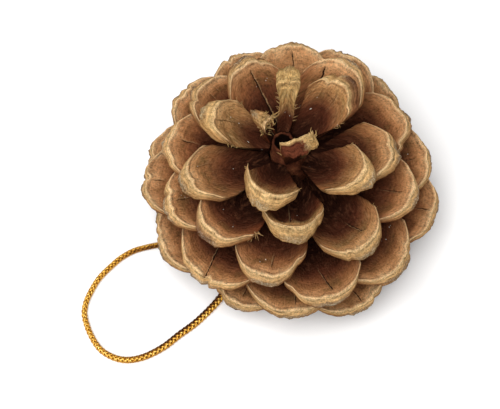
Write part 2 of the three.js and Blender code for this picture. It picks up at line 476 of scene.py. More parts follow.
# %% [markdown]
# ## Where a scale grows
# The scales sit on a spiral: each one is turned by the same angle from the one above. Their rims lie
# on a dome and their roots on the core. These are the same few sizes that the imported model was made
# from, so every detailed scale fills the place of its plain block.

# %% Sizes of the spiral, in mm
CONE_RADIUS = 36.6
DOME_HEIGHT = 40
EQUATOR_HEIGHT = 12
GAP = 0.3
DIVERGENCE = 137.93
FIRST_TURN = 273.5
LAST_SCALE = 57
BROKEN_OFF = (2, 3)
APEX_ANGLE = -10
EQUATOR_ANGLE = 99
EQUATOR_SCALE = 47
CROWDING = 0.53
SKIRT_DEPTH = 13
SKIRT_SCALE = 41
SKIRT_DROP = 0.33
SKIRT_TUCK = 0.6
FIRST_FOOT = 53
FOOT_HEIGHT = 3.5
TOP_ROOT = 41
ROOT_STEP = 0.6
HIGHEST_ROOT = 38.4
TIP_LEAN = Vector((-1.7, 1.3))
LEAN_HEIGHTS = (30, 40)
ROOT_HALF_WIDTH = 2.1
ROOT_CROWDING = 0.42
UPRIGHT_ROOT = 0.2
APEX_HALF_WIDTH = 6.4
FULL_HALF_WIDTH = 10.2
FULL_WIDTH_SCALE = 34
SKIRT_NARROWING = 0.02
SHOULDER = 0.85
ROOT_THICKNESS = 1.7
BLADE_THICKNESS = 1.2
TOP_END_THICKNESS = 4.4
LOW_END_THICKNESS = 2.6
THINNING_SCALES = (6, 38)
SWELLING_START = 0.68
EDGE_THINNING = 0.62
END_LEAN = 0.3
APEX_RIM_SAG = 0.85
FULL_RIM_SAG = 0.6
ROUNDNESS = 0.6
CUP = 0.17
CURL = math.radians(14)
WIDTH_SWAY = 0.04
ROLL_SWAY = 3

# Scales that grew astray: degrees turned, mm outwards, mm upwards, and times as wide
STRAYS = {
    1: (14, 4, -5.5, 0.3), 4: (10, 0, 1, 0.44), 5: (-10, -9.5, 4, 0.66),
    6: (-2, 2.5, 0.5, 0.8), 7: (18, -0.5, 1, 0.9), 8: (-1, -2.8, 2, 1), 9: (6, 1, 1, 1),
    10: (-2, -3.2, 0, 1), 11: (3, 2, -2, 1), 12: (-1, 0.5, 1, 1.1), 13: (-8, -3.2, 2, 1),
    14: (-1, 1, -1, 1), 15: (-3, -3, -1, 1), 16: (0, -0.5, -1, 1.03), 17: (0, 0.8, 0.5, 1.12),
    18: (-3, -0.5, -1, 1), 19: (-4, -0.5, -1, 1.1), 20: (-9, -0.5, -1, 1.1), 21: (2, -1.5, -0.5, 1),
    22: (-4, 0, 1, 1), 23: (5, -2, 0, 0.95), 24: (-3, -2, 1, 1), 25: (-1, 1, 1.5, 1),
    26: (-1, 0.5, -1, 1), 27: (-9, 0.2, 2, 1), 28: (-2, 0, -1, 1), 29: (-3, -0.7, 0, 1.18),
    32: (0, 0.5, 0, 1), 33: (7, 0, 3, 1), 34: (7, -1.5, 1, 1.1), 36: (2, 0.5, 1, 1),
    37: (-2, -0.7, 1, 1.05), 39: (5, -1, 0.5, 1.05), 40: (4, 1, 1.5, 1), 42: (6, -3.5, 1, 1),
    44: (0, -0.5, 0, 1), 47: (-1, -2, 1, 1), 49: (0, -1, -0.5, 0.95), 52: (0, 0, 0.5, 0.95),
    55: (6, 0, 0, 1), 57: (0, -1, 0, 0.95),
}
# The core's outline: height and radius
AXIS_PROFILE = [
    (0, 3.2), (4, 3.3), (6, 5.6), (20, 6), (28, 5.4), (33, 4.3), (37, 3), (39, 1.8),
]


def blend_between(low, high, share):
    return low + (high - low) * share


def hill(value, middle, width):
    """1 at the middle, falling to nothing a few widths away."""
    return math.exp(-((value - middle) / width) ** 2)


def core_radius(height):
    for (low, low_radius), (high, high_radius) in zip(AXIS_PROFILE, AXIS_PROFILE[1:]):
        if height <= high:
            return blend_between(low_radius, high_radius, max(0, (height - low) / (high - low)))
    return AXIS_PROFILE[-1][1]


def lean_at(height, turn=math.pi / 2):
    """How far the core leans at a height, seen by a scale that faces a turn: sideways, outwards."""
    lean = TIP_LEAN * smooth(height, *LEAN_HEIGHTS)
    sideways = lean.x * math.sin(turn) - lean.y * math.cos(turn)
    return Vector((sideways, lean.x * math.cos(turn) + lean.y * math.sin(turn)))


def scale_shape(number):
    turned, outwards, upwards, widened = STRAYS.get(number, (0, 0, 0, 1))
    turn = math.radians(FIRST_TURN + turned - DIVERGENCE * number)
    slide = (number / EQUATOR_SCALE) ** CROWDING
    down = math.radians(blend_between(APEX_ANGLE, EQUATOR_ANGLE, slide))
    depth = DOME_HEIGHT if math.cos(down) > 0 else SKIRT_DEPTH
    skirt = max(0, number - SKIRT_SCALE)
    root_height = min(HIGHEST_ROOT, TOP_ROOT - ROOT_STEP * number)
    root_heights = (root_height, root_height - ROOT_THICKNESS)
    root_radius = max(core_radius(height) for height in root_heights) + GAP
    root_reach = max(core_radius(height) + lean_at(height, turn).y for height in root_heights) + GAP
    grown = smooth(number, 0, FULL_WIDTH_SCALE)
    half_width = blend_between(APEX_HALF_WIDTH, FULL_HALF_WIDTH, grown)
    half_width *= 1 - SKIRT_NARROWING * skirt
    rim_height = EQUATOR_HEIGHT + depth * math.cos(down) + upwards - SKIRT_DROP * skirt
    root = Vector((root_reach, root_height))
    rim = Vector((
        CONE_RADIUS * math.sin(down) + outwards - SKIRT_TUCK * skirt,
        rim_height if number < FIRST_FOOT else FOOT_HEIGHT,
    ))
    return {
        "number": number,
        "turn": turn,
        "root": root,
        "root_shift": lean_at(root_height, turn).x,
        "rim": rim,
        "length": (rim - root).length,
        "root_half_width": min(ROOT_HALF_WIDTH, ROOT_CROWDING * root_radius),
        "half_width": half_width * widened * (1 + WIDTH_SWAY * math.sin(2.3 * number)),
        "sag": blend_between(APEX_RIM_SAG, FULL_RIM_SAG, grown),
        "end": blend_between(TOP_END_THICKNESS, LOW_END_THICKNESS, smooth(number, *THINNING_SCALES)),
        "roll": math.radians(ROLL_SWAY * math.sin(1.7 * number)),
    }


def middle_line(shape, along):
    """A point of the blade's middle line and the way it runs there, both as (outwards, upwards)."""
    root, rim = shape["root"], shape["rim"]
    chord = rim - root
    slope = math.atan2(chord.y, chord.x)
    reach = chord.length / 3
    leaving = root + Vector((math.cos(slope - CURL), math.sin(slope - CURL))) * reach
    arriving = rim - Vector((math.cos(slope + CURL), math.sin(slope + CURL))) * reach
    back = 1 - along
    place = root * back**3 + leaving * (3 * along * back**2)
    place += arriving * (3 * along**2 * back) + rim * along**3
    run = (leaving - root) * back**2 + (arriving - leaving) * (2 * along * back)
    run += (rim - arriving) * along**2
    return place, run.normalized()


shapes = {n: scale_shape(n) for n in range(1, LAST_SCALE + 1) if n not in BROKEN_OFF}
print("scales:", len(shapes), "longest in mm:", round(max(s["length"] for s in shapes.values()), 1))

# %% [markdown]
# ## What differs from scale to scale
# No two scales dry alike. Most have a crack down the middle of the upper face, some have a deep dark
# hollow where a seed lay, and the top ones are paler. Small tables, by the number of the scale, hold
# what the picture shows on single ones: cracks, paleness, lightness, hollows, redness, bites and
# curled corners. Seeded chance gives the hidden ones something of their own.

# %% Marks of single scales
# Crack: mm sideways at its outer end, mm in from the rim where it starts and ends, slant, depth
CRACKS = {
    6: (-1.5, 1.6, 7, 0.5, 0.3), 9: (0.2, 2.2, 14, 0.1, 0.8), 11: (2.5, 3, 6, 0.2, 0.3),
    12: (-4.2, 2.4, 8.5, 0.1, 0.8), 13: (0.6, 3.5, 8, 0, 0.5), 14: (0, 3, 6, 0, 0.3),
    17: (0, 1.8, 6, 0.1, 0.6), 18: (-2.2, 4, 8, 0.3, 0.6), 19: (0.5, 3, 7, 0, 0.5),
    21: (-1, 3, 6, 0, 0.5), 24: (1, 2, 7, 0, 0.4), 26: (-1.2, 2.2, 8, 0.25, 0.8),
    28: (0, 3, 6, 0, 0.3), 29: (-1.8, -1, 9, 0.35, 1.1), 32: (0.5, 1.6, 5, 0, 0.5),
    34: (-1, 2, 6, 0, 0.5), 36: (0, 1.5, 5, 0, 0.5), 39: (-1, 1, 5, 0.1, 0.6),
}
# How far each scale is paler than the rest, from brown at 0 to straw yellow at 1
PALENESS = {
    1: 0.2, 4: 0.95, 5: 0.8, 6: 0.45, 7: 0.35, 8: 0.45, 10: 0.35, 11: 0.2, 13: 0.4, 15: 0.15,
    18: 0.25,
}
# Lightness of single scales, round 1
TONES = {9: 0.92, 13: 0.95, 14: 0.9, 17: 1.05, 12: 1.05, 22: 1.02}
# How deep the hollows of its seeds are, in mm
DEEP_HOLLOWS = {13: 1.6, 18: 0.7, 10: 0.7, 8: 0.8, 15: 0.6}
# How fast each one darkens inwards, times the usual: how far the painted shade between the scales
# reaches
SHADING = {
    1: 3, 4: 1.2, 6: 0.9, 7: 1.2, 8: 1.2, 10: 1.2, 11: 0.95, 12: 0.7, 13: 1.7, 14: 1.2, 16: 1.45,
    17: 0.5, 18: 1.2, 21: 1.1, 23: 1.1, 26: 1.2, 29: 1.2, 31: 1.1, 34: 1.3, 39: 1.1,
}
# How red its outer side and its corners are
BLUSHES = {5: 1, 7: 0.8, 4: 0.5, 1: 0.3, 8: 0.5, 16: 0.7, 14: 0.6, 20: 0.6}
# Bites out of the rim: where across, how wide across, mm deep
BITES = {
    8: [(0.8, 0.08, 0.9)], 13: [(-0.78, 0.08, 1.1), (0.86, 0.06, 0.8)], 21: [(-0.8, 0.1, 1.7)],
    16: [(-0.88, 0.12, 1.6)], 26: [(0.85, 0.08, 1.1)], 29: [(-0.2, 0.05, 1.1)],
    10: [(0.5, 0.08, 0.7)], 20: [(0.7, 0.1, 1.2)], 7: [(-0.5, 0.12, 0.9), (0.75, 0.1, 1)],
    6: [(0.3, 0.1, 0.6)], 24: [(0.4, 0.08, 0.7)],
}
# Narrow places: where along, how long as a share, how much narrower
WAISTS = {4: (0.55, 0.25, 0.32)}
# Broken or blunt ends, whose corners lie less far back, times the usual
BLUNTNESS = {1: 0.3, 4: 0.15, 5: 0.5, 7: 0.85}
# Torn sides are thicker: how much thinner than the middle they are
SIDE_THINNING = {4: 0.2, 5: 0.2, 6: 0.3, 7: 0.1}
# How far the two outer corners curl up, in mm: the anticlockwise one, then the clockwise one
CURLS = {
    8: (1.2, 2.4), 7: (1.6, 0.6), 13: (0.8, 1.2), 21: (1.2, 0.6), 10: (0.6, 1.4), 6: (1.2, 0.4),
}


MARK_SEED = 1000


def marks_of(number):
    chance = random.Random(MARK_SEED + number)
    where, start, end = chance.uniform(-1, 1), chance.uniform(2, 3.5), chance.uniform(5, 8)
    curls = chance.uniform(-0.2, 0.9), chance.uniform(-0.2, 0.9)
    return {
        "crack": CRACKS.get(number, (where, start, end, 0, max(0, chance.uniform(-0.4, 0.4)))),
        "pale": PALENESS.get(number, chance.uniform(0, 0.1)),
        "tone": TONES.get(number, chance.uniform(0.93, 1.07)),
        "hollow": DEEP_HOLLOWS.get(number, chance.uniform(0.3, 0.6)),
        "seed": chance.uniform(0, 90),
        "groove": chance.uniform(0.05, 0.2),
        "curls": CURLS.get(number, curls),
        "umbo": chance.uniform(-0.15, 0.15),
        "glints": chance.uniform(0, 1),
        "shading": SHADING.get(number, chance.uniform(0.8, 1.15)),
        "blush": BLUSHES.get(number, chance.uniform(0, 0.45)),
        "bites": BITES.get(number, [(chance.uniform(-0.9, 0.9), 0.06, chance.uniform(0, 0.8))]),
        "waist": WAISTS.get(number, (0.5, 1, 0)),
        "bluntness": BLUNTNESS.get(number, 1),
        "side_thinning": SIDE_THINNING.get(number, EDGE_THINNING),
        "jag": chance.uniform(0.3, 1),
    }


marks = {number: marks_of(number) for number in shapes}
print("cracks deeper than 0.3 mm:", sum(mark["crack"][-1] > 0.3 for mark in marks.values()))

# %% [markdown]
# ## A blank for every scale
# All scales start as the same box, cut into a fine net of faces by Subdivide: many across and along,
# fewer through the thickness. Bending a box keeps the mesh closed, and its flat coordinates say later
# where on the scale a point lies: across, along and how high in the thickness.

# %% Blank
FACETS = (40, 34, 7)


def mesh_from(net, name):
    mesh = bpy.data.meshes.new(name)
    net.to_mesh(mesh)
    net.free()
    return mesh


def runs_along(edge, axis):
    start, end = edge.verts
    return abs((start.co - end.co)[axis]) > 1e-4


def make_blank():
    net = bmesh.new()
    bmesh.ops.create_cube(net, size=1)
    for axis, count in enumerate(FACETS):
        running = [edge for edge in net.edges if runs_along(edge, axis)]
        bmesh.ops.subdivide_edges(net, edges=running, cuts=count - 1, use_grid_fill=True)
    return mesh_from(net, "blank")


blank = make_blank()
print("faces of the blank:", len(blank.polygons))

# %% [markdown]
# ## Bending the blank
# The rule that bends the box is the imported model's, with the living detail added: a crest along the
# rim with a groove behind it, rings that follow the outline, two hollows where seeds lay, a crack, a
# bellied outer end with its rough scar, and edges that wander a little. Smooth noise makes what has
# no rule: one helper gives a ripple of some mm, and the numbers after it say how fine it is.

# %% One point of a scale
NEAR_RIM = 0.7
CREST = (0.3, 0.35)
CREST_HEIGHT = 0.25
GROOVE = (1.5, 0.45)
# Rings behind the groove: mm high, then how far in and how wide
RINGS = [(0.12, 2.7, 0.5), (-0.14, 4.6, 0.6), (0.07, 6, 0.6)]
# Where the two seeds lay and how large they were, across and along
SEEDS_ACROSS = (0.36, 0.24)
SEEDS_ALONG = (0.68, 0.15)
CRACK_WIDTH = 0.25
CRACK_LIPS = (0.8, 0.35)
CRACK_LIP_HEIGHT = 0.12
# How far the belly of the outer end, its crust and its scar stand out, in mm
BELLY = 0.35
CRUST = 0.12
SCAR = 0.3
CRUST_ON_SCAR = 0.45


def ripple(height, *place):
    return height * noise.noise(Vector(place))


def crack_at(mark, sideways, inland):
    """How far off the crack's line a point is, in mm, and how much of the crack is there."""
    place, start, end, slant, _ = mark["crack"]
    share = smooth(inland, start - 0.5, start + 0.5) * smooth(inland, end + 1, end - 2)
    return sideways - place - slant * (inland - start), share


def relief_of_top(mark, across, sideways, along, inland):
    """How much the upper face rises or falls in mm, from what the real one shows there."""
    seed = mark["seed"]
    ring = inland + ripple(0.7, across * 2, along * 4, seed)
    relief = CREST_HEIGHT * hill(inland, *CREST) - mark["groove"] * hill(ring, *GROOVE)
    relief += sum(high * hill(ring, inwards, wide) for high, inwards, wide in RINGS)
    relief -= mark["hollow"] * hill(abs(across), *SEEDS_ACROSS) * hill(along, *SEEDS_ALONG)
    off, share = crack_at(mark, sideways, inland)
    off += ripple(0.35, seed, inland * 0.5, 3)
    split = CRACK_LIP_HEIGHT * hill(abs(off), *CRACK_LIPS) - hill(off, 0, CRACK_WIDTH)
    relief += mark["crack"][-1] * share * split
    relief += ripple(0.14, sideways * 0.9, inland * 0.5, seed)
    return relief + ripple(0.12, sideways * 2, inland * 1.4, seed)


def scale_point(shape, mark, across, along, rise):
    """Where a point of the blank goes, in mm, with its distances sideways and in from the outline."""
    seed = mark["seed"]
    middle, run = middle_line(shape, along)
    square = across * across
    widening = math.sin(math.pi / 2 * min(1, along / SHOULDER))
    half = blend_between(shape["root_half_width"], shape["half_width"], widening)
    *waist, narrowing = mark["waist"]
    half *= 1 - narrowing * hill(along, *waist)
    sideways = half * across
    from_rim = shape["length"] * (1 - along)
    from_side = (1 - abs(across)) * half * 1.3 + 0.2 + from_rim**2 / (from_rim + 6)
    inland = 1 / (1 / (from_rim + 0.05) ** 3 + 1 / (from_side + 0.05) ** 3) ** (1 / 3)
    bow = (1 - ROUNDNESS) * square + ROUNDNESS * square * square
    swelling = smooth(along, SWELLING_START, 1)
    blade = blend_between(ROOT_THICKNESS, BLADE_THICKNESS, smooth(along, 0, 0.5))
    thickness = blend_between(blade, shape["end"], swelling)
    thickness *= 1 - mark["side_thinning"] * square * along
    sag = shape["half_width"] * shape["sag"] * mark["bluntness"] * along**2 * bow
    forward = END_LEAN * swelling * (1 - square) * (1 - rise) - sag
    lift = shape["half_width"] * CUP * along * square - thickness * (1 - rise)

    # The outline wanders, and the end bellies out round its scar
    outer = smooth(along, NEAR_RIM, 1)
    edge = ripple(0.6, across * 2.2, seed, 1)
    edge += mark["jag"] * (ripple(0.22, across * 7, seed, 2) + ripple(0.07, across * 19, seed, 2))
    bite = 1.4 * max(0, ripple(1, across * 5, seed, 3) - 0.35)
    bite += sum(depth * hill(across, place, width) for place, width, depth in mark["bites"])
    forward += outer * (edge - bite - 0.1)
    end = smooth(along, 0.94, 1)
    belly = math.sin(math.pi * min(1, 0.15 + rise)) * (1 - square)
    scar = hill(across, mark["umbo"], 0.3) * hill(rise, 0.3, 0.24)
    crust = ripple(1, sideways * 1.6, rise * 5, seed) + ripple(0.4, sideways * 4, rise * 11, seed)
    ridges = ripple(0.3, sideways * 0.4, rise * 6, seed)
    forward += end * (BELLY * belly + ridges + CRUST * crust)
    forward += end * scar * (SCAR + CRUST_ON_SCAR * crust)

    # The blade ripples, its corners curl, and its underside hangs unevenly
    curl = mark["curls"][across > 0]
    lift += curl * square * square * smooth(along, 0.5, 1)
    lift += ripple(0.5, across * 1.2, along * 2.4, seed) * smooth(along, 0.25, 0.8)
    hanging = ripple(0.6, across * 3.5, seed, 4) + ripple(0.3, across * 9, seed, 5)
    lift += (1 - rise) * outer * (hanging - 0.25 * square)
    lift += smooth(rise, 0.6, 1) * relief_of_top(mark, across, sideways, along, inland)

    roll = shape["roll"] * along
    raising = lift * math.cos(roll) + sideways * math.sin(roll)
    leaning = run.y * smooth(along, 0, UPRIGHT_ROOT)
    place = Vector((
        sideways * math.cos(roll) - lift * math.sin(roll) + shape["root_shift"] * (1 - along) ** 2,
        middle.x + run.x * forward - leaning * raising,
        max(0, middle.y + run.y * forward + run.x * raising),
    ))
    return place, sideways, inland


# %% [markdown]
# ## Torn fibres
# Where a scale broke or split, pale fibres stand out of the edge. A fibre is a small ring that is
# extruded along its curved way and narrows to a point. A few dozen faces are enough for each.

# %% Fibres
FIBRE_SIDES = 5


def add_fibre(net, points, radius):
    """Extrudes a ring along the points, in metres, and returns the new corners."""
    run = points[1] - points[0]
    facing = Matrix.Translation(points[0]) @ run.to_track_quat("Z", "Y").to_matrix().to_4x4()
    made = bmesh.ops.create_circle(
        net, cap_ends=True, segments=FIBRE_SIDES, radius=radius, matrix=facing,
    )
    corners = list(made["verts"])
    end = corners[0].link_faces[0]
    new_faces = {end}
    for i in range(1, len(points)):
        grown = bmesh.ops.extrude_face_region(net, geom=[end], use_keep_orig=(i == 1))
        if i > 1:
            bmesh.ops.delete(net, geom=[end], context="FACES_ONLY")
        ring = [item for item in grown["geom"] if isinstance(item, bmesh.types.BMVert)]
        end = [item for item in grown["geom"] if isinstance(item, bmesh.types.BMFace)][0]
        narrowing = (1 - 0.8 * i / (len(points) - 1)) / (1 - 0.8 * (i - 1) / (len(points) - 1))
        bmesh.ops.translate(net, verts=ring, vec=points[i] - points[i - 1])
        bmesh.ops.scale(net, verts=ring, vec=(narrowing,) * 3, space=Matrix.Translation(-points[i]))
        corners += ring
    for corner in corners:
        new_faces.update(corner.link_faces)
    bmesh.ops.recalc_face_normals(net, faces=list(new_faces))
    return corners


def fibre_way(start, aim, length, curliness, chance, steps=5):
    """A way that starts towards aim and wanders off."""
    way = [start]
    heading = aim.normalized()
    for _ in range(steps):
        sway = Vector((chance.uniform(-1, 1), chance.uniform(-1, 1), chance.uniform(-0.6, 1)))
        heading = (heading + sway * curliness).normalized()
        way.append(way[-1] + heading * length / steps)
    return way


TUFT_SEED = 500
# How strongly a fibre wanders off its way
CURLINESS = 0.35
# Tufts: the scale's number, where across and along it they stand, how wide the tuft is across and
# along, how many fibres, their length and thickness in mm, how pale they are, and how far they fan
# outwards, sideways and up
TUFTS = [
    (1, 0, 0.85, 0.9, 0.2, 16, 3.6, 0.36, 1.3, (0.8, 0, 0.6)),
    (1, 0, 0.6, 0.9, 0.3, 16, 2.2, 0.28, 1.1, (0.3, 0, 1)),
    (1, 0.9, 0.8, 0.3, 0.2, 5, 4, 0.32, 1.2, (0.6, 0.9, 0.5)),
    (1, -0.9, 0.8, 0.3, 0.2, 4, 3, 0.35, 1.2, (0.8, -0.9, 0)),
    (4, -0.95, 0.42, 0.05, 0.25, 9, 1.5, 0.16, 0.5, (0.4, -0.8, 0.2)),
    (4, 0.95, 0.45, 0.05, 0.25, 9, 1.5, 0.16, 0.5, (0.4, 0.8, 0.2)),
    (4, -0.9, 0.62, 0.08, 0.1, 5, 1.6, 0.25, 1, (0.5, -0.8, 0.4)),
    (5, -0.85, 0.75, 0.15, 0.2, 9, 2.6, 0.34, 1, (0.1, -0.5, 1)),
    (5, 0.9, 0.7, 0.1, 0.2, 5, 1.5, 0.2, 0.9, (0.2, 0.6, 0.8)),
    (6, 0.98, 0.7, 0.03, 0.2, 7, 1.8, 0.2, 0.7, (0.7, 0.5, 0.1)),
    (6, -0.98, 0.62, 0.03, 0.2, 9, 1.6, 0.22, 1.1, (0.6, -0.5, 0.1)),
    (7, 0.98, 0.6, 0.03, 0.2, 6, 1.3, 0.18, 0.6, (0.5, 0.6, 0.1)),
    (8, 0.98, 0.86, 0.02, 0.05, 3, 1, 0.2, 1, (0.5, 0.5, 0.2)),
    (8, -0.98, 0.8, 0.02, 0.06, 3, 1.2, 0.2, 0.5, (0.5, -0.5, 0.1)),
    (10, -0.95, 0.82, 0.05, 0.06, 6, 1.3, 0.16, 0.5, (0.5, -0.7, -0.1)),
    (10, 0.9, 0.75, 0.05, 0.05, 6, 1.5, 0.2, 0.5, (0.8, 0.5, 0)),
    (16, -0.95, 0.8, 0.05, 0.06, 7, 3, 0.26, 0.5, (0.5, -0.9, 0)),
    (16, -0.9, 0.88, 0.05, 0.03, 3, 2.4, 0.3, 1, (0.9, -0.2, -0.4)),
    (18, -0.95, 0.85, 0.04, 0.04, 5, 1.4, 0.16, 0.6, (0.3, -0.9, 0)),
    (20, 0.9, 0.82, 0.06, 0.05, 6, 1.5, 0.2, 0.4, (0.5, 0.8, 0)),
]


def write_notes(corner, layers, *notes):
    for layer, note in zip(layers, notes):
        corner[layer] = Vector(note)


def add_tufts(net, layers, shape, mark):
    chance = random.Random(TUFT_SEED + shape["number"])
    tufts = [tuft[1:] for tuft in TUFTS if tuft[0] == shape["number"]]
    for across, along, wide, long, count, length, thick, pale, fan in tufts:
        for _ in range(count):
            here = (across + chance.uniform(-wide, wide), along + chance.uniform(-long, long))
            here = (min(1, max(-1, here[0])), min(1, max(0, here[1])))
            start = scale_point(shape, mark, *here, chance.uniform(0.4, 0.95))[0]
            run = middle_line(shape, here[1])[1]
            aim = Vector((fan[1], run.x * fan[0] - run.y * fan[2], run.y * fan[0] + run.x * fan[2]))
            aim += Vector([chance.uniform(-0.35, 0.35) for _ in range(3)])
            reach = length * chance.uniform(0.5, 1.1)
            curliness = CURLINESS * max(1, pale) ** 3
            way = [point * MM for point in fibre_way(start, aim, reach, curliness, chance)]
            tone = chance.uniform(0.85, 1.1)
            for corner in add_fibre(net, way, thick * chance.uniform(0.6, 1.1) * MM):
                grain = (corner.co.x / MM, 1.2, mark["seed"] + corner.co.z / MM)
                kind = (tone * max(1, pale), min(1, pale), 0)
                write_notes(corner, layers, grain, (0, 1, 1), kind, (9, 0, 1 - min(1, pale)))


# %% [markdown]
# ## Where the wood's colours lie
# The colours of a scale follow its own shape: rings along the rim, fine grain towards the core, a
# dark inner part that is partly the wood's own colour and partly painted shade. So every corner of
# the mesh keeps three small notes, which the material reads: grain (mm sideways, mm in from the
# outline, a number of its own), zone (across, height in the thickness, how fast it darkens inwards
# with painted shade) and kind (lightness, paleness, glints). A fourth, crack, says how far off the
# crack is, how open it is, and how red the scale's outer side is.

# %% Build one scale
# How much closer the blank's facets stand towards the rim and towards the upper face
RIM_CROWDING = 1.5
TOP_CROWDING = 1.25
NOTES = ("grain", "zone", "kind", "crack")


def build_scale(number, material):
    shape, mark = shapes[number], marks[number]
    net = bmesh.new()
    for note in NOTES:
        net.verts.layers.float_vector.new(note)
    net.from_mesh(blank)
    layers = [net.verts.layers.float_vector[note] for note in NOTES]
    open_share = min(1, mark["crack"][-1] * 1.6)
    for corner in net.verts:
        across = corner.co.x * 2
        along = 1 - (0.5 - corner.co.y) ** RIM_CROWDING
        rise = 1 - (0.5 - corner.co.z) ** TOP_CROWDING
        spot, sideways, inland = scale_point(shape, mark, across, along, rise)
        corner.co = spot * MM
        off, share = crack_at(mark, sideways, inland)
        write_notes(
            corner, layers,
            (sideways, inland, mark["seed"]),
            (across, rise, mark["shading"]),
            (mark["tone"], mark["pale"], mark["glints"]),
            (off, share * open_share, mark["blush"]),
        )
    add_tufts(net, layers, shape, mark)
    facing = Matrix.Rotation(shape["turn"] - math.pi / 2, 4, "Z")
    net.transform(Matrix.Translation(CONE_SHIFT * MM) @ facing)
    name = f"pine_scale_{number:02d}"
    return finished_piece(name, mesh_from(net, name), material)


# %% [markdown]
# ## Dry pine wood
# Seen close, the upper face is banded along the rim: a light edge, partly pale wood and partly a
# painted highlight on its lip, tan, then brown, and almost black inside, partly the wood's own colour
# and partly painted shade between the scales. The thick outer end is straw yellow with a grey crusty
# scar, and the corners and undersides are reddish. Two darker lines follow the outline: painted shade
# in the groove behind the crest, and a fold round the outer end. The rings come from the distance to
# the outline, and the grain is a noise that is stretched towards the core.

